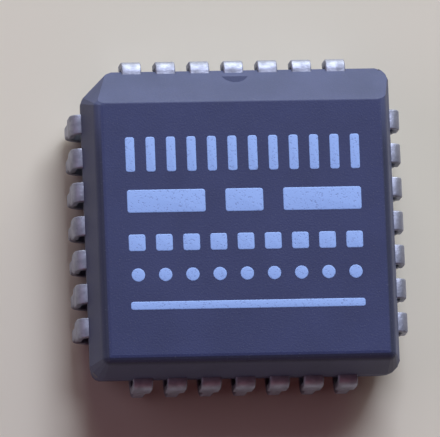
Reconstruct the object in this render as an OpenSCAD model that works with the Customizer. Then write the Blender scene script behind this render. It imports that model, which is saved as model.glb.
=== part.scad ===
// 28-lead plastic chip carrier with J-shaped leads on all four sides.
// Millimetres, +Z up, origin at the centre of the seating plane under the feet.
// +Y is the pin 1 side, and leads are numbered counter-clockwise seen from above.

/* [Body] */
// Distance from the middle of a row's last lead to the body's side
row_margin = 1.945; // [1.9:0.005:2]
// Height of the top face above the seating plane
body_top = 4.37; // [4.2:0.01:4.57]
// Height of the underside above the seating plane
underside_z = 0.71; // [0.6:0.01:0.78]
// Height of the upright land above and below the lead frame, where the mould parts
parting_land = 0.03; // [0.02:0.01:0.06]
// Slope of the upper walls from vertical, in degrees
upper_draft = 13; // [5:0.5:15]
// Slope of the lower walls from vertical, in degrees
lower_draft = 8; // [3:0.5:10]
// Radius of the softened edge between the walls and the top face
top_round = 0.35; // [0.1:0.01:0.4]
// Radius of the softened edges along the bevel's brow and round the underside
edge_round = 0.1; // [0.06:0.01:0.2]
// Leg of the chamfer on the index corner
index_chamfer = 1.07; // [1:0.01:1.22]
// Slope of the chamfer above the parting land from vertical, in degrees
index_draft = 20; // [13:0.5:22]
// Radius of the other three corners, and of the chamfer's two edges
corner_r = 0.6; // [0.3:0.05:0.7]

/* [Pin 1 side] */
// Slope of the bevel from vertical, in degrees
bevel_slope = 40.5; // [38:0.5:45]
// Radius of the half-moon notch in the bevel
notch_r = 0.56; // [0.5:0.01:0.65]
// Height of the notch's floor above the tops of the leads
notch_floor = 0.2; // [0.15:0.01:0.25]

/* [Underside] */
// Clearance round a lead's tip in its pocket
pocket_gap = 0.12; // [0.08:0.01:0.18]
// Diameter of the round marks left by the ejector pins
ejector_d = 1.5; // [1:0.1:2]
// Depth of the ejector marks
ejector_depth = 0.06; // [0.03:0.01:0.1]
// Distance of the ejector marks from the middle, along X and along Y
ejector_offset = 2.2; // [1.5:0.1:2.5]

/* [Leads] */
// Spacing of the leads along a side
lead_pitch = 1.27; // [1.2:0.01:1.3]
// Straight length of a lead's shoulder outside the body
shoulder_run = 0.015; // [0:0.005:0.08]
// Height of the lead frame's middle above the seating plane
frame_z = 2.67; // [2.6:0.01:2.75]
// Thickness of the lead frame
frame_t = 0.25; // [0.2:0.01:0.28]
// Width of a lead's shoulder
shoulder_w = 0.74; // [0.66:0.01:0.81]
// Width of a lead's leg and foot
leg_w = 0.43; // [0.33:0.01:0.53]
// Height at which a lead starts to narrow below its shoulder
neck_z = 1.8; // [1.6:0.01:2]
// Inside radius of the bend at the shoulder
shoulder_bend = 0.14; // [0.1:0.01:0.25]
// Outside radius of the curl at the foot
foot_r = 0.9; // [0.85:0.01:0.95]
// Sweep of the foot's curl from the leg to the tip, in degrees
foot_sweep = 170; // [150:1:178]

/* [Lead frame inside the body] */
// Straight length of a finger inside the wall
finger_root = 0.75; // [0.5:0.05:1]
// Width of a finger's tip
finger_tip_w = 0.36; // [0.3:0.01:0.42]
// Spacing of the finger tips along a side
finger_tip_pitch = 0.72; // [0.66:0.01:0.74]
// Straight length of a finger's tip
finger_tip_len = 0.4; // [0.3:0.05:0.6]
// Gap between the finger tips and the die paddle
finger_gap = 0.4; // [0.3:0.05:0.5]
// Width of the square die paddle
paddle_w = 5.2; // [4.8:0.1:5.4]
// Width of the bars that tied the paddle to the corners
tie_bar_w = 0.4; // [0.3:0.05:0.5]

/* [Die] */
// Width of the square die
die_w = 3.2; // [2.8:0.1:4]
// Thickness of the die
die_t = 0.36; // [0.25:0.01:0.4]
// Thickness of the adhesive under the die
attach_t = 0.03; // [0.02:0.01:0.05]
// Width of the adhesive that shows round the die
attach_margin = 0.06; // [0.03:0.01:0.1]

/* [Bond wires] */
// Diameter of a bond wire
wire_d = 0.04; // [0.03:0.005:0.05]
// Angle between a wire and its chord where it leaves the bond, in degrees
wire_arch = 55; // [45:1:65]
// Diameter of the bond at each end of a wire
bond_d = 0.12; // [0.1:0.01:0.14]
// Thickness of the bond at each end of a wire
bond_t = 0.06; // [0.05:0.01:0.08]
// Distance of the bond pads from the die's edge
pad_inset = 0.15; // [0.1:0.01:0.25]
// Spacing of the bond pads along an edge of the die
pad_pitch = 0.36; // [0.3:0.01:0.4]

/* [Hidden] */
$fn = 64;
sides = 4;
leads_per_side = 7;
lead_count = sides * leads_per_side;
lead_numbers = [1 : lead_count];
middle_slot = (leads_per_side - 1) / 2;

// Steps of a softened edge, and the turns of the flats that make a rounded corner
round_steps = 5;
corner_steps = 4;
corner_turns = [for (i = [1 : corner_steps - 1]) 90 * i / corner_steps];
// How far a cut runs past the surface that it opens
overrun = 1;

body_half = middle_slot * lead_pitch + row_margin;
body_w = 2 * body_half;
frame_bottom = frame_z - frame_t / 2;
frame_top = frame_z + frame_t / 2;
land_bottom = frame_bottom - parting_land;
land_top = frame_top + parting_land;
chamfer_reach = (body_w - index_chamfer) / sqrt(2);

shoulder_reach = body_half + shoulder_run;
lead_reach = shoulder_reach + shoulder_bend + frame_t;
shoulder_drop = frame_bottom - shoulder_bend;
neck_taper = (shoulder_w - leg_w) / 2;
foot_reach = lead_reach - foot_r;
tip_top = foot_r - (foot_r - frame_t) * sin(foot_sweep);

finger_tip_reach = paddle_w / 2 + finger_gap;
finger_bend_reach = finger_tip_reach + finger_tip_len;
finger_root_reach = body_half - finger_root;

attach_top = frame_top + attach_t;
die_top = attach_top + die_t;
pad_reach = die_w / 2 - pad_inset;
landing_reach = finger_tip_reach + finger_tip_len / 2;

mould_grey = [0.25, 0.27, 0.36];
solder_grey = [0.72, 0.74, 0.8];
copper = [0.72, 0.45, 0.3];
silver_paste = [0.6, 0.6, 0.58];
silicon = [0.35, 0.38, 0.45];
gold = [0.85, 0.68, 0.3];

function two_digits(n) = n < 10 ? str("0", n) : str(n);
function lead_name(n) = str("lead_", two_digits(n));
function wire_name(n) = str("bond_wire_", two_digits(n));

// Place of a lead in the counter-clockwise row that starts at the +X end of the pin 1 side
function row_place(n) = (n - 1 + middle_slot) % lead_count;
function lead_side(n) = floor(row_place(n) / leads_per_side);
// Signed place of a lead on its side, 0 in the middle
function lead_slot(n) = middle_slot - row_place(n) % leads_per_side;

function unit(v) = v / norm(v);

// Points of an arc of radius r that rounds the corner p between its neighbours a and b
function rounded_corner(a, p, b, r) =
    let (
        u = unit(a - p),
        v = unit(b - p),
        half_angle = acos(u * v) / 2,
        centre = p + unit(u + v) * r / sin(half_angle),
        from = p + u * r / tan(half_angle) - centre,
        turn = (180 - 2 * half_angle) * sign(from.x * v.y - from.y * v.x),
        start = atan2(from.y, from.x)
    )
    [for (i = [0 : round_steps])
        let (angle = start + turn * i / round_steps)
        centre + r * [cos(angle), sin(angle)]];

// Distance from the axis to a flat of a rounded corner, by the flat's turn from the last wall
function corner_reach(turn) = corner_r + (body_half - corner_r) * (cos(turn) + sin(turn));
// The same for the index corner, and the slope of its flats
function index_reach(turn) =
    let (
        near = body_half - corner_r,
        far = sqrt(2) * (chamfer_reach - corner_r) - near
    )
    corner_r + near * max(cos(turn), sin(turn)) + far * min(cos(turn), sin(turn));

function index_slope(turn) = upper_draft + (index_draft - upper_draft) * (1 - abs(turn - 45) / 45);

// Points up a wall to the given crease, as distance from the axis and height, then in to the top face
function wall(reach, crease_z, slope, brow_r) =
    let (
        foot = [reach - (land_bottom - underside_z) * tan(lower_draft), underside_z],
        land = [reach, land_bottom],
        crease = [reach, crease_z],
        brow = [reach - (body_top - crease_z) * tan(slope), body_top]
    )
    concat(
        rounded_corner([0, underside_z], foot, land, edge_round),
        [land, crease],
        rounded_corner(crease, brow, [0, body_top], brow_r)
    );

function plain_wall(reach, slope = upper_draft) = wall(reach, land_top, slope, top_round);
// The bevel comes down to the middle of the lead frame, so the leads break through it
function bevelled_wall(reach) = wall(reach, frame_z, bevel_slope, edge_round);

function mirrored(points) = [for (i = [len(points) - 1 : -1 : 0]) [-points[i].x, points[i].y]];

// A long bar with one wall on each side, turned about Z
module walled_bar(left, right, turn) {
    rotate([0, 0, turn])
        rotate([90, 0, 0])
            linear_extrude(height = 2 * body_w, center = true)
                polygon(concat(right, mirrored(left)));
}

// The mould's cavity: two pairs of walls and the flats of the four corners, all drafted
module mould_form() {
    intersection() {
        walled_bar(plain_wall(body_half), plain_wall(body_half), 0);
        walled_bar(plain_wall(body_half), bevelled_wall(body_half), 90);
        intersection_for (turn = corner_turns)
            walled_bar(plain_wall(corner_reach(turn)), plain_wall(corner_reach(turn)), turn);
        intersection_for (turn = corner_turns)
            walled_bar(
                plain_wall(corner_reach(turn)),
                plain_wall(index_reach(turn), index_slope(turn)),
                90 + turn
            );
    }
}

// Turns the +Y side to the side of lead n
module at_side(n) {
    rotate([0, 0, lead_side(n) * 360 / sides])
        children();
}

// A finger and its flat shoulder, out to where the shoulder bends down
module lead_finger(n) {
    root_x = lead_slot(n) * lead_pitch;
    tip_x = lead_slot(n) * finger_tip_pitch;
    translate([0, 0, frame_bottom])
        linear_extrude(height = frame_t)
            polygon([
                [root_x - shoulder_w / 2, shoulder_reach],
                [root_x - shoulder_w / 2, finger_root_reach],
                [tip_x - finger_tip_w / 2, finger_bend_reach],
                [tip_x - finger_tip_w / 2, finger_tip_reach],
                [tip_x + finger_tip_w / 2, finger_tip_reach],
                [tip_x + finger_tip_w / 2, finger_bend_reach],
                [root_x + shoulder_w / 2, finger_root_reach],
                [root_x + shoulder_w / 2, shoulder_reach]
            ]);
}

// A strip of the lead frame bent about a line along X, starting from straight up
module bent_strip(inside_r, width, start, sweep) {
    rotate([0, -90, 0])
        rotate([0, 0, start])
            rotate_extrude(angle = sweep)
                translate([inside_r, -width / 2])
                    square([frame_t, width]);
}

// The leg seen from outside: the shoulder's width, a short taper, then the foot's width
module lead_leg() {
    translate([0, lead_reach, 0])
        rotate([90, 0, 0])
            linear_extrude(height = frame_t)
                polygon([
                    [-shoulder_w / 2, shoulder_drop],
                    [-shoulder_w / 2, neck_z],
                    [-leg_w / 2, neck_z - neck_taper],
                    [-leg_w / 2, foot_r],
                    [leg_w / 2, foot_r],
                    [leg_w / 2, neck_z - neck_taper],
                    [shoulder_w / 2, neck_z],
                    [shoulder_w / 2, shoulder_drop]
                ]);
}

module lead(n) {
    color(solder_grey)
        at_side(n) {
            lead_finger(n);
            translate([lead_slot(n) * lead_pitch, 0, 0]) {
                translate([0, shoulder_reach, shoulder_drop])
                    bent_strip(shoulder_bend, shoulder_w, 0, 90);
                lead_leg();
                translate([0, foot_reach, foot_r])
                    bent_strip(foot_r - frame_t, leg_w, 90, foot_sweep);
            }
        }
}

// The room that a lead's tip needs in the underside
module tip_pocket(n) {
    pocket_w = leg_w + 2 * pocket_gap;
    inner_reach = foot_reach - foot_r - pocket_gap;
    at_side(n)
        translate([lead_slot(n) * lead_pitch - pocket_w / 2, inner_reach, underside_z - overrun])
            cube([pocket_w, body_w, tip_top + pocket_gap - underside_z + overrun]);
}

module ejector_mark() {
    translate([0, 0, underside_z - overrun])
        cylinder(d = ejector_d, h = overrun + ejector_depth);
}

module moulded_body() {
    color(mould_grey)
        difference() {
            mould_form();
            translate([0, body_half, frame_top + notch_floor])
                cylinder(r = notch_r, h = body_top);
            for (n = lead_numbers)
                tip_pocket(n);
            for (s = [-1, 1])
                translate([s * ejector_offset, s * ejector_offset, 0])
                    ejector_mark();
            for (n = lead_numbers)
                at_side(n)
                    lead_finger(n);
            die_paddle();
            die_attach();
            die();
            for (n = lead_numbers)
                bond_wire(n);
        }
}

// A bar from the axis towards a corner, cut flush with the corner's three flats
module tie_bar(turn, reaches) {
    rotate(turn)
        intersection() {
            translate([0, -tie_bar_w / 2])
                square([body_w, tie_bar_w]);
            intersection_for (i = [0 : len(corner_turns) - 1])
                rotate(corner_turns[i] - 45)
                    translate([-body_w, -body_w])
                        square([body_w + reaches[i], 2 * body_w]);
        }
}

// The paddle and the bars that tied it to the strip
module die_paddle() {
    corner_reaches = [for (turn = corner_turns) corner_reach(turn)];
    index_reaches = [for (turn = corner_turns) index_reach(turn)];
    color(copper)
        translate([0, 0, frame_bottom])
            linear_extrude(height = frame_t) {
                square(paddle_w, center = true);
                for (turn = [45, 225, 315])
                    tie_bar(turn, corner_reaches);
                tie_bar(135, index_reaches);
            }
}

module die_attach() {
    attach_w = die_w + 2 * attach_margin;
    color(silver_paste)
        translate([-attach_w / 2, -attach_w / 2, frame_top])
            cube([attach_w, attach_w, attach_t]);
}

module die() {
    color(silicon)
        translate([-die_w / 2, -die_w / 2, attach_top])
            cube([die_w, die_w, die_t]);
}

// A wire in the XZ plane: one arc between a bond on the die and a bond on a finger at the given span
module wire_loop(span) {
    fall = die_top - frame_top;
    chord = norm([span, fall]);
    dip = atan2(fall, span);
    loop_r = chord / (2 * sin(wire_arch));
    sink = loop_r * cos(wire_arch);
    translate([0, 0, die_top])
        cylinder(d = bond_d, h = bond_t);
    translate([span, 0, frame_top])
        cylinder(d = bond_d, h = bond_t);
    translate([span / 2 - sink * sin(dip), 0, (die_top + frame_top + bond_t) / 2 - sink * cos(dip)])
        rotate([90, 0, 0])
            rotate([0, 0, 90 - dip - wire_arch])
                rotate_extrude(angle = 2 * wire_arch)
                    translate([loop_r, 0])
                        circle(d = wire_d);
}

module bond_wire(n) {
    pad = [lead_slot(n) * pad_pitch, pad_reach];
    landing = [lead_slot(n) * finger_tip_pitch, landing_reach];
    way = landing - pad;
    color(gold)
        at_side(n)
            translate([pad.x, pad.y, 0])
                rotate([0, 0, atan2(way.y, way.x)])
                    wire_loop(norm(way));
}

moulded_body();
die_paddle();
die_attach();
die();
for (n = lead_numbers) lead(n);
for (n = lead_numbers) bond_wire(n);
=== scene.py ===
# %% [markdown]
# A plastic chip carrier, dressed for its picture
#
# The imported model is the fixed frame: every solid is already there, at its real size, in metres.
# This lesson leaves the moulded body as it is and gives it a finish, makes the 28 leads again with the
# soft edges that plating leaves, prints a few plain marks on the top face, and then sets the floor, light
# and camera.

# %% Load the frame
import math

import bpy
import numpy as np
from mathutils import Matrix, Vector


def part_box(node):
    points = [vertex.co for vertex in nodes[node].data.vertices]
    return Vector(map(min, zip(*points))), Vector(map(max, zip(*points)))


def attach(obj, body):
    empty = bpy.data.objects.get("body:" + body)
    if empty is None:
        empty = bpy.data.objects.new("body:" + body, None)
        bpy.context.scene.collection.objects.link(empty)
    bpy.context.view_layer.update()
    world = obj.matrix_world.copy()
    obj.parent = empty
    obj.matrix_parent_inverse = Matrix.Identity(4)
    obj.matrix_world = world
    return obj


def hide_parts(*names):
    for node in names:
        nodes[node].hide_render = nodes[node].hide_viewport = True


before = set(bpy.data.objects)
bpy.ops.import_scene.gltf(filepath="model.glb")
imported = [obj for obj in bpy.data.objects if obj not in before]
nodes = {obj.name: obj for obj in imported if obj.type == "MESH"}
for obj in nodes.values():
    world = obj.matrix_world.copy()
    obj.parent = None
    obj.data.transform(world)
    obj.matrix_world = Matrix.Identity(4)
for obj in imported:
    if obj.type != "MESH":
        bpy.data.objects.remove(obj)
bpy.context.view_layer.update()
print("nodes in the frame:", len(nodes))

# %% [markdown]
# Measures
#
# A chip is only about 12 mm across, so the sizes below are in millimetres and one factor turns them into
# Blender's metres. Whatever the frame can tell is read from its boxes: lead_01 is the middle lead of the
# pin 1 side, so its box gives a lead's shoulder width, reach and height. The few sizes that a box can't show,
# such as the strip's thickness and its bends, are written here by name.

# %% Sizes from the frame, and the sizes that boxes don't show
MM = 0.001


def box_mm(node):
    """Lowest and highest corner of a node, in millimetres."""
    low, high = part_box(node)
    return np.array(low) / MM, np.array(high) / MM


_, body_high = box_mm("moulded_body")
middle_low, middle_high = box_mm("lead_01")
next_low, next_high = box_mm("lead_02")

SIDES = 4
LEADS_PER_SIDE = 7
LEAD_COUNT = SIDES * LEADS_PER_SIDE
MIDDLE_SLOT = LEADS_PER_SIDE // 2

LEAD_PITCH = middle_low[0] - next_low[0]
SHOULDER_W = middle_high[0] - middle_low[0]
LEAD_REACH = middle_high[1]
TIP_REACH = middle_low[1]
STRIP_TOP = middle_high[2]
BODY_HALF = body_high[0]
BODY_TOP = body_high[2]

STRIP_T = 0.25
LEG_W = 0.43
NECK_Z = 1.8
SHOULDER_BEND = 0.14
FOOT_R = 0.9
FOOT_SWEEP = math.radians(170)
FINGER_ROOT = 0.75
FINGER_TIP_W = 0.36
FINGER_TIP_LEN = 0.4
# The finger of lead_02 leans inwards, so its box ends at the inner edge of the finger's tip.
FINGER_TIP_PITCH = FINGER_TIP_W / 2 - next_high[0]
print(f"pitch {LEAD_PITCH:.3f} mm, shoulder {SHOULDER_W:.3f} mm")
print(f"reach {LEAD_REACH:.3f} mm, top {BODY_TOP:.3f} mm")

# %% [markdown]
# From arrays to a closed mesh
#
# Every new piece here is an outline carried along a path, so its points lie on a grid: one row for each
# station of the path, one column for each point of the outline. The grid's quads make the wall, and the first
# and last rows become the two end faces. The volume between the wall and the middle of the points tells
# whether the faces point outwards: if it comes out negative, each face is turned round.

# %% The skin over a grid of points
SHARP_ANGLE = math.radians(35)


def skin(name, grids):
    """A mesh object over grids of shape (copies, stations, around, 3) in millimetres.
    Quads join neighbours along and around each grid, and a face with many corners closes each end."""
    copies, stations, around, _ = grids.shape
    index = np.arange(copies * stations * around).reshape(copies, stations, around)
    turned = np.roll(index, -1, axis=2)
    quads = np.stack([index[:, :-1], index[:, 1:], turned[:, 1:], turned[:, :-1]], axis=-1).reshape(-1, 4)
    ends = np.concatenate([index[:, 0], index[:, -1, ::-1]])
    points = grids.reshape(-1, 3) * MM
    corner = points[quads]
    middle = points.mean(axis=0)
    area = np.cross(corner[:, 2] - corner[:, 0], corner[:, 3] - corner[:, 1]) / 2
    volume = (area * (corner.mean(axis=1) - middle)).sum() / 3
    if volume < 0:
        quads = quads[:, ::-1]
        ends = ends[:, ::-1]
    mesh = bpy.data.meshes.new(name)
    mesh.from_pydata(points.tolist(), [], quads.tolist() + ends.tolist())
    mesh.shade_smooth()
    mesh.set_sharp_from_angle(angle=SHARP_ANGLE)
    piece = bpy.data.objects.new(name, mesh)
    bpy.context.collection.objects.link(piece)
    return piece


# %% [markdown]
# The leads
#
# Each lead is one strip stamped from a copper sheet, bent down at the body and curled under, then plated with
# tin. A box with a bevel could stand for it, but a stamped strip is truly a section that travels: a rounded
# rectangle that grows wider at the shoulder, narrows at the neck and follows the bends. So the shape is
# written as a path with a width, and the section is carried along it. The frame keeps the plain solid for
# contact, and this piece stands for it in the picture.

# %% A rounded outline, used for the lead's section and for the ink
CORNERS = 4
CORNER_STEPS = 4


def rounded_outline(half_w, half_h, radius, inset):
    """Points round a rectangle with round corners: each corner's middle lies a radius in from both sides, and
    an arc of that radius, less the inset, turns round it.
    The sizes may be columns, one row for each station."""
    quarter = np.linspace(0, math.pi / 2, CORNER_STEPS + 1)
    turn = np.concatenate([quarter + corner * math.pi / 2 for corner in range(CORNERS)])
    across = np.repeat([1, -1, -1, 1], CORNER_STEPS + 1)
    along = np.repeat([1, 1, -1, -1], CORNER_STEPS + 1)
    u = across * (half_w - radius) + (radius - inset) * np.cos(turn)
    v = along * (half_h - radius) + (radius - inset) * np.sin(turn)
    return u, v


print("points round an outline:", CORNERS * (CORNER_STEPS + 1))

# %% The path of a lead on the pin 1 side
EDGE_R = 0.055
END_STEPS = 4
BEND_STEPS = 8
NECK_STEPS = 6
FOOT_STEPS = 24

STRIP_Z = STRIP_TOP - STRIP_T / 2
SHOULDER_REACH = LEAD_REACH - STRIP_T - SHOULDER_BEND
SHOULDER_DROP = STRIP_TOP - STRIP_T - SHOULDER_BEND
LEG_REACH = LEAD_REACH - STRIP_T / 2
FOOT_REACH = LEAD_REACH - FOOT_R
NECK_TAPER = (SHOULDER_W - LEG_W) / 2


def lead_path(slot):
    """Stations along the middle of the strip, as columns: place along X, Y and Z, the outer face's direction
    in Y and Z, the width, and the inset that rounds the two ends.
    The finger is straight, the two bends are arcs, and the neck eases from one width to the other."""
    end = np.linspace(math.pi / 2, 0, END_STEPS)
    end_inset = EDGE_R * (1 - np.cos(end))
    end_step = EDGE_R * (1 - np.sin(end))
    bend = np.linspace(0, math.pi / 2, BEND_STEPS + 1)
    ease = np.linspace(0, 1, NECK_STEPS + 1)
    foot_r = FOOT_R - STRIP_T / 2
    bend_r = SHOULDER_BEND + STRIP_T / 2
    foot = np.concatenate([
        np.linspace(0, FOOT_SWEEP - 2 * EDGE_R / foot_r, FOOT_STEPS),
        FOOT_SWEEP - end_step[::-1] / foot_r,
    ])

    finger_y = np.concatenate([
        TIP_REACH + end_step,
        [TIP_REACH + FINGER_TIP_LEN, BODY_HALF - FINGER_ROOT, BODY_HALF],
    ])
    finger_w = np.array([FINGER_TIP_W] * (END_STEPS + 1) + [SHOULDER_W] * 2)
    finger_x = np.array([FINGER_TIP_PITCH] * (END_STEPS + 1) + [LEAD_PITCH] * 2)
    outer = len(bend) + len(ease) + len(foot)

    x = slot * np.concatenate([finger_x, np.full(outer, LEAD_PITCH)])
    y = np.concatenate([
        finger_y,
        SHOULDER_REACH + bend_r * np.sin(bend),
        np.full(len(ease), LEG_REACH),
        FOOT_REACH + foot_r * np.cos(foot),
    ])
    z = np.concatenate([
        np.full(len(finger_y), STRIP_Z),
        SHOULDER_DROP + bend_r * np.cos(bend),
        NECK_Z - NECK_TAPER * ease,
        FOOT_R - foot_r * np.sin(foot),
    ])
    face_y = np.concatenate([np.zeros(len(finger_y)), np.sin(bend), np.ones(len(ease)), np.cos(foot)])
    face_z = np.concatenate([np.ones(len(finger_y)), np.cos(bend), np.zeros(len(ease)), -np.sin(foot)])
    width = np.concatenate([
        finger_w,
        np.full(len(bend), SHOULDER_W),
        SHOULDER_W - 2 * NECK_TAPER * ease * ease * (3 - 2 * ease),
        np.full(len(foot), LEG_W),
    ])
    inset = np.zeros(len(y))
    inset[:END_STEPS] = end_inset
    inset[-END_STEPS:] = end_inset[::-1]
    return [column[:, None] for column in (x, y, z, face_y, face_z, width, inset)]


print("stations along a lead:", len(lead_path(0)[0]))


# %% Carry the section along the path, and turn it to its side
def lead_grid(side, slot):
    """The strip's surface: each station adds the section's width along X and its thickness along the outer
    face's direction, and the whole turns by a quarter for each side."""
    x, y, z, face_y, face_z, width, inset = lead_path(slot)
    across, through = rounded_outline(width / 2, STRIP_T / 2, EDGE_R, inset)
    local_x = x + across
    local_y = y + face_y * through
    local_z = z + face_z * through
    turn = side * math.tau / SIDES
    return np.stack([
        local_x * math.cos(turn) - local_y * math.sin(turn),
        local_x * math.sin(turn) + local_y * math.cos(turn),
        local_z,
    ], axis=-1)[None]


leads = []
for number in range(1, LEAD_COUNT + 1):
    position = (number - 1 + MIDDLE_SLOT) % LEAD_COUNT
    side, along = divmod(position, LEADS_PER_SIDE)
    piece = skin(f"plated_lead_{number:02d}", lead_grid(side, MIDDLE_SLOT - along))
    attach(piece, "root")
    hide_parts(f"lead_{number:02d}")
    leads.append(piece)
faces_each = len(leads[0].data.polygons)
print("leads:", len(leads), "with", faces_each, "faces each")

# %% [markdown]
# The printed marks
#
# The top face of such a chip carries pad-printed ink. Here it is a plain pattern of dashes, bars, squares,
# dots and a rule. Flat coloured faces could lie on the plastic, but ink is a film with a soft brim, so each
# mark is a rounded outline carried up a very short path that draws in at the top. Its foot is sunk a few
# thousandths into the face, as ink keys into a moulding.

# %% Ink films
INK_T = 0.014
INK_SINK = 0.006
INK_CORNER = 0.09
# Four stations: how high the film's outline stands on the face, and how far it has drawn in there.
INK_RISE = np.array([-INK_SINK, INK_T * 0.5, INK_T * 0.85, INK_T])[:, None]
INK_DRAW = np.array([0.0, 0.0, 0.012, 0.035])[:, None]


def ink_films(name, marks, corner=INK_CORNER):
    """One piece of several films. A mark is (x, y, width, height) in millimetres on the top face, and its
    outline draws in as it rises, so that the film has a brim.
    A corner as large as half the mark makes a dot."""
    grids = []
    for x, y, width, height in marks:
        radius = min(corner, width / 2, height / 2)
        u, v = rounded_outline(np.full((len(INK_RISE), 1), width / 2), height / 2, radius, INK_DRAW)
        rise = np.broadcast_to(BODY_TOP + INK_RISE, u.shape)
        grids.append(np.stack([x + u, y + v, rise], axis=-1))
    piece = skin(name, np.stack(grids))
    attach(piece, "root")
    return piece


def ink_row(y, height, widths, gap):
    """Marks of the given widths side by side, centred on the middle of the face."""
    widths = np.array(widths)
    ends = np.cumsum(widths + gap) - gap
    middles = ends - widths / 2 - ends[-1] / 2
    return [(x, y, width, height) for x, width in zip(middles, widths)]


DOT_W = 0.5
ink = [
    ink_films("ink_dashes", ink_row(y=2.35, height=1.3, widths=[0.34] * 12, gap=0.42)),
    ink_films("ink_bars", ink_row(y=0.6, height=0.85, widths=[2.9, 1.4, 2.9], gap=0.75)),
    ink_films("ink_squares", ink_row(y=-0.95, height=0.62, widths=[0.62] * 9, gap=0.39)),
    ink_films("ink_dots", ink_row(y=-2.15, height=DOT_W, widths=[DOT_W] * 9, gap=0.51), corner=DOT_W / 2),
    ink_films("ink_rule", ink_row(y=-3.3, height=0.3, widths=[8.7], gap=0.0)),
]
print("ink pieces:", [piece.name for piece in ink])

# %% [markdown]
# Shader sums
#
# A finish is a sum of patterns. Adding node after node by hand hides the sum, so one small class wraps a
# socket and lets Python's own operators add the Math nodes. Any other node comes from its one method, and
# four short functions name the patterns that the finishes share.


# %% A socket that can be used in sums
class Signal:
    """One output socket of a material's nodes."""

    def __init__(self, socket):
        self.socket = socket
        self.tree = socket.id_data

    def node(self, kind, settings, sockets, out=0):
        """Adds a node of a type, sets its settings first, then the values or links of its sockets."""
        made = self.tree.nodes.new("ShaderNode" + kind)
        for key, value in settings.items():
            setattr(made, key, value)
        for key, value in sockets.items():
            self.feed(made.inputs[key], value)
        return Signal(made.outputs[out])

    def feed(self, socket, value):
        """Links a signal to a socket, or sets a plain value on it."""
        if isinstance(value, Signal):
            self.tree.links.new(value.socket, socket)
        else:
            socket.default_value = value

    def maths(self, operation, first, second):
        """Adds a Math node for two values."""
        return self.node("Math", {"operation": operation}, {0: first, 1: second})

    def __add__(self, other):
        return self.maths("ADD", self, other)

    def __rsub__(self, other):
        return self.maths("SUBTRACT", other, self)

    def __mul__(self, other):
        return self.maths("MULTIPLY", self, other)

    __radd__ = __add__
    __rmul__ = __mul__


# %% A new finish, and the patterns that finishes share
def new_finish(name, constants):
    """A material with a Principled shader: its even values are set on the shader's own sockets.
    Returns the material, the shader's sockets and the object's coordinates as a signal."""
    material = bpy.data.materials.new(name)
    material.use_nodes = True
    tree = material.node_tree
    shader = tree.nodes["Principled BSDF"]
    for key, value in constants.items():
        shader.inputs[key].default_value = value
    return material, shader.inputs, Signal(tree.nodes.new("ShaderNodeTexCoord").outputs["Object"])


def noise(place, size, detail=2.0):
    """Soft noise from 0 to 1 whose blotches are about size millimetres across."""
    return place.node("TexNoise", {}, {"Vector": place, "Scale": 1 / (size * MM), "Detail": detail})


def step(value, low, high):
    """0 below low and 1 above high, with a smooth change between."""
    return value.node("MapRange", {"interpolation_type": "SMOOTHSTEP"}, {"Value": value, 1: low, 2: high})


def mix(factor, first, second):
    """A colour between two colours."""
    return factor.node("Mix", {"data_type": "RGBA"}, {0: factor, 6: first, 7: second}, out=2)


def bump(height, depth):
    """A normal from a height of 0 to 1 that stands for a depth in millimetres."""
    return height.node("Bump", {}, {"Height": height, "Distance": depth * MM})


# %% [markdown]
# Mould compound
#
# The body is epoxy filled with silica, pressed in a mould whose walls were spark-eroded. It is a dark slate
# with a matt grain of a few hundredths of a millimetre, faint clouds where the filler settled, and a few pale
# specks of filler. Its colour is painted with the light each part takes: the top face deeper and bluer, a
# painted sheen of the blue light above, the sides and the bevel paler, as painted light, and the rounded rim
# between them darkest, as painted shade that fades out before the bevel. Each could be a piece with its own
# colour, but on the moulding they run into each other, so height alone tells face, rim and side apart. The
# grain goes into the bump, so that the light itself draws it.

# %% The body's finish
# Painted sheen and painted light: the face tones are bluer and the side tones paler than the one compound.
FACE_SHEEN_DEEP = (0.024, 0.031, 0.099, 1.0)
FACE_SHEEN_PALE = (0.031, 0.040, 0.122, 1.0)
SIDE_LIGHT_DEEP = (0.054, 0.065, 0.129, 1.0)
SIDE_LIGHT_PALE = (0.071, 0.083, 0.165, 1.0)
# Painted shade: the rim's tone darkens the rounding between the top face and the sides.
RIM_SHADE = (0.030, 0.034, 0.064, 1.0)
FILLER = (0.12, 0.13, 0.17, 1.0)
FACE_START = BODY_TOP - 0.03
FACE_FULL = BODY_TOP - 0.001
RIM_DEPTH = 0.35
RIM_END = 4.1
RIM_FADE = 2.0
CLOUD_SIZE = 1.8
CLOUD_SHARE = 0.6
GRAIN_SIZE = 0.06
GRAIN_DEPTH = 0.006
GRAIN_ROUGHNESS = 0.16
BODY_ROUGHNESS = 0.46
SPECK_SIZE = 0.035
SPECK_STRENGTH = 0.5
body_finish, body_sockets, place = new_finish("mould_compound", {"IOR": 1.5, "Specular IOR Level": 0.35})
north = place.node("SeparateXYZ", {}, {0: place}, out=1)
height = place.node("SeparateXYZ", {}, {0: place}, out=2)
clouds = noise(place, CLOUD_SIZE, detail=3.0)
grain = noise(place, GRAIN_SIZE, detail=3.0)
specks = step(noise(place, SPECK_SIZE, detail=0.0), low=0.72, high=0.8)
cloud_tone = step(clouds * CLOUD_SHARE + grain * (1 - CLOUD_SHARE), low=0.3, high=0.7)
on_face = step(height, FACE_START * MM, FACE_FULL * MM)
near_top = step(height, (BODY_TOP - RIM_DEPTH) * MM, BODY_TOP * MM)
# Painted shade on the rim, fading out towards the north, where the light comes from.
rim_shade = near_top * (1 - step(north, (RIM_END - RIM_FADE) * MM, RIM_END * MM))
side_tone = mix(rim_shade, mix(cloud_tone, SIDE_LIGHT_DEEP, SIDE_LIGHT_PALE), RIM_SHADE)
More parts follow.
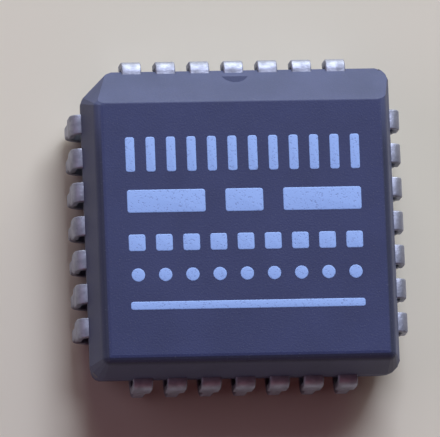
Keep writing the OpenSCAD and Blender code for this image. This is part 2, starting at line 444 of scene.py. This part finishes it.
# The painted sheen tones take over on the top face, and the painted light and shade tones stay below it.
tone = mix(on_face, side_tone, mix(cloud_tone, FACE_SHEEN_DEEP, FACE_SHEEN_PALE))
place.feed(body_sockets["Base Color"], mix(specks * SPECK_STRENGTH, tone, FILLER))
place.feed(body_sockets["Roughness"], BODY_ROUGHNESS + GRAIN_ROUGHNESS * grain)
place.feed(body_sockets["Normal"], bump(grain, GRAIN_DEPTH))
nodes["moulded_body"].material_slots[0].material = body_finish
print("finish:", body_finish.name)

# %% [markdown]
# Solder plate
#
# The leads are plated with a tin alloy that has dulled: a grey metal with soft blotches and a slightly wavy
# skin. One even grey could stand for it, but the blotches are what tells the eye that the metal has aged, so
# one noise changes the colour and the roughness together, and a finer one makes the waves.

# %% The leads' finish
TIN_BRIGHT = (0.40, 0.415, 0.50, 1.0)
TIN_DULL = (0.315, 0.325, 0.39, 1.0)
BLOTCH_SIZE = 0.35
BLOTCH_ROUGHNESS = 0.12
TIN_ROUGHNESS = 0.56
WAVE_SIZE = 0.12
WAVE_DEPTH = 0.012
tin_finish, tin_sockets, place = new_finish("solder_plate", {"Metallic": 1.0})
dull = step(noise(place, BLOTCH_SIZE, detail=3.0), low=0.35, high=0.7)
place.feed(tin_sockets["Base Color"], mix(dull, TIN_BRIGHT, TIN_DULL))
place.feed(tin_sockets["Roughness"], TIN_ROUGHNESS + BLOTCH_ROUGHNESS * dull)
place.feed(tin_sockets["Normal"], bump(noise(place, WAVE_SIZE), WAVE_DEPTH))
for piece in leads:
    piece.data.materials.append(tin_finish)
print("finish:", tin_finish.name)

# %% [markdown]
# Ink
#
# Pad-printed ink is thin, so the grain of the moulding shows through it as small gaps. They could be cut
# into the films, but they are only hundredths of a millimetre wide, so a noise makes them: where there is
# a gap the ink is thinner in colour, rougher and a little lower.

# %% The ink's finish
INK_FULL = (0.29, 0.44, 0.81, 1.0)
INK_THIN = (0.19, 0.26, 0.50, 1.0)
GAP_SIZE = 0.07
GAP_DEPTH = 0.004
GAP_STRENGTH = 0.7
GAP_ROUGHNESS = 0.2
INK_ROUGHNESS = 0.5
ink_finish, ink_sockets, place = new_finish("marking_ink", {"IOR": 1.45})
gaps = step(noise(place, GAP_SIZE, detail=3.0), low=0.55, high=0.72)
place.feed(ink_sockets["Base Color"], mix(gaps * GAP_STRENGTH, INK_FULL, INK_THIN))
place.feed(ink_sockets["Roughness"], INK_ROUGHNESS + GAP_ROUGHNESS * gaps)
place.feed(ink_sockets["Normal"], bump(1 - gaps, GAP_DEPTH))
for piece in ink:
    piece.data.materials.append(ink_finish)
print("finish:", ink_finish.name)

# %% [markdown]
# Inside the moulding
#
# Only the cut ends of the paddle's tie bars reach the surface, at the corners, and there the copper has
# tarnished to a dark brown grey. The rest could stay bare, because nothing of it shows, but the paddle, the
# adhesive, the die and the wires still get a finish of their own, so that a cut-away view looks right.

# %% The paddle's copper
COPPER_RED = (0.50, 0.24, 0.13, 1.0)
COPPER_BROWN = (0.36, 0.17, 0.10, 1.0)
TARNISH = (0.11, 0.10, 0.12, 1.0)
TARNISH_BAND = 1.0
COPPER_BLOTCH = 0.3
copper_finish, copper_sockets, place = new_finish("copper_frame", {"Metallic": 1.0, "Roughness": 0.35})
outwards = place.node("VectorMath", {"operation": "LENGTH"}, {0: place}, out="Value")
tarnished = step(outwards, (BODY_HALF - TARNISH_BAND) * MM, BODY_HALF * MM)
copper_tone = mix(noise(place, COPPER_BLOTCH), COPPER_RED, COPPER_BROWN)
place.feed(copper_sockets["Base Color"], mix(tarnished, copper_tone, TARNISH))
print("finish:", copper_finish.name)


# %% The adhesive, the die and the wires
def blotched_finish(name, first, second, size, constants):
    """A finish whose colour wanders between two tones, with blotches of a size in millimetres."""
    material, sockets, place = new_finish(name, constants)
    place.feed(sockets["Base Color"], mix(noise(place, size), first, second))
    return material


paste_finish = blotched_finish(
    "silver_paste",
    first=(0.38, 0.38, 0.36, 1.0),
    second=(0.28, 0.28, 0.27, 1.0),
    size=0.08,
    constants={"Roughness": 0.6},
)
silicon_finish = blotched_finish(
    "silicon",
    first=(0.10, 0.11, 0.15, 1.0),
    second=(0.16, 0.17, 0.22, 1.0),
    size=0.25,
    constants={"Roughness": 0.2},
)
gold_finish = blotched_finish(
    "gold_wire",
    first=(0.78, 0.52, 0.17, 1.0),
    second=(0.66, 0.43, 0.13, 1.0),
    size=0.1,
    constants={"Metallic": 1.0, "Roughness": 0.25},
)
inner = {"die_paddle": copper_finish, "die_attach": paste_finish, "die": silicon_finish}
inner.update({f"bond_wire_{number:02d}": gold_finish for number in range(1, LEAD_COUNT + 1)})
for node, finish in inner.items():
    nodes[node].material_slots[0].material = finish
print("inner pieces with a finish:", len(inner))

# %% [markdown]
# Floor, light and camera
#
# The chip lies on a plain pale floor. Small lamps would throw hard shadows, so every light is a soft panel.
# A broad one low in the north lights the bevel and the leads there and throws a soft shadow to the south, and
# a second one higher up lights the top face. Two large dim panels in the west and the south and a faint warm
# surround fill the shade. The camera stands far off with a long lens, so that the sides stay parallel, and
# looks nearly straight down, leaning a little to the south and west.

# %% A plain pale floor
FLOOR_HALF = 600.0
FLOOR_COLOUR = (0.66, 0.61, 0.50, 1.0)
floor_edges = [-FLOOR_HALF, FLOOR_HALF]
floor_x, floor_y = np.meshgrid(floor_edges, floor_edges)
floor_grid = np.stack([floor_x, floor_y, np.zeros_like(floor_x)], axis=-1)
floor_mesh = bpy.data.meshes.new("floor")
floor_mesh.from_pydata((floor_grid.reshape(-1, 3) * MM).tolist(), [], [(0, 1, 3, 2)])
floor = bpy.data.objects.new("floor", floor_mesh)
bpy.context.collection.objects.link(floor)
floor_finish, floor_sockets, _ = new_finish("floor", {"Roughness": 0.9})
floor_sockets["Base Color"].default_value = FLOOR_COLOUR
floor_mesh.materials.append(floor_finish)
print("floor:", 2 * FLOOR_HALF, "mm square")


# %% Light
def direction(azimuth, elevation):
    """A unit vector: azimuth turns from north towards east, elevation rises from the floor, in degrees."""
    a, e = math.radians(azimuth), math.radians(elevation)
    return np.array([math.sin(a) * math.cos(e), math.cos(a) * math.cos(e), math.sin(e)])


def panel(name, azimuth, elevation, distance, size, level, colour):
    """A soft box that faces the chip from a distance in metres. Its level is the brightness of a white card
    that faces it, because a panel of P watts gives P / (pi d squared) of light there, and white returns it
    over pi."""
    light = bpy.data.lights.new(name, "AREA")
    light.shape = "RECTANGLE"
    light.size, light.size_y = size
    light.energy = level * math.pi**2 * distance**2
    light.color = colour
    lamp = bpy.data.objects.new(name, light)
    lamp.location = direction(azimuth, elevation) * distance
    lamp.rotation_euler = (math.radians(90 - elevation), 0, math.radians(180 - azimuth))
    bpy.context.collection.objects.link(lamp)
    print(f"{name}: {light.energy:.3f} W")


WIDE_PANEL = (0.9, 0.45)
SURROUND = (0.045, 0.021, 0.025, 1.0)
panel("north_panel", azimuth=13, elevation=17, distance=0.4, size=(0.5, 0.2), level=1.12,
      colour=(0.93, 1.0, 0.99))
panel("upper_panel", azimuth=17, elevation=54, distance=0.3, size=(0.16, 0.08), level=0.82,
      colour=(0.76, 0.82, 1.0))
panel("west_panel", azimuth=275, elevation=42, distance=1.0, size=WIDE_PANEL, level=0.12,
      colour=(0.93, 0.76, 1.0))
panel("south_panel", azimuth=190, elevation=25, distance=1.0, size=WIDE_PANEL, level=0.06,
      colour=(1.0, 0.30, 0.38))
world = bpy.data.worlds.new("surround")
world.use_nodes = True
world.node_tree.nodes["Background"].inputs["Color"].default_value = SURROUND
scene = bpy.context.scene
scene.world = world

# %% Camera
PHOTO_W = 440
FOCAL_PX = 12000
SENSOR_MM = 36
AIM = np.array([-0.71, 0.20, 2.67])
CAMERA_DISTANCE = 443.6
LEAN = (math.radians(10.0), math.radians(-7.1), math.radians(-2.25))
lens = bpy.data.cameras.new("camera")
lens.sensor_width = SENSOR_MM
lens.lens = FOCAL_PX / PHOTO_W * SENSOR_MM
lens.clip_start = 10 * MM
lens.clip_end = 10.0
camera = bpy.data.objects.new("camera", lens)
camera.rotation_euler = LEAN
away = np.array(camera.rotation_euler.to_matrix().col[2])
camera.location = (AIM + away * CAMERA_DISTANCE) * MM
bpy.context.collection.objects.link(camera)
scene.camera = camera
scene.view_settings.view_transform = "Standard"
print("camera at", [round(c / MM, 2) for c in camera.location], "mm")
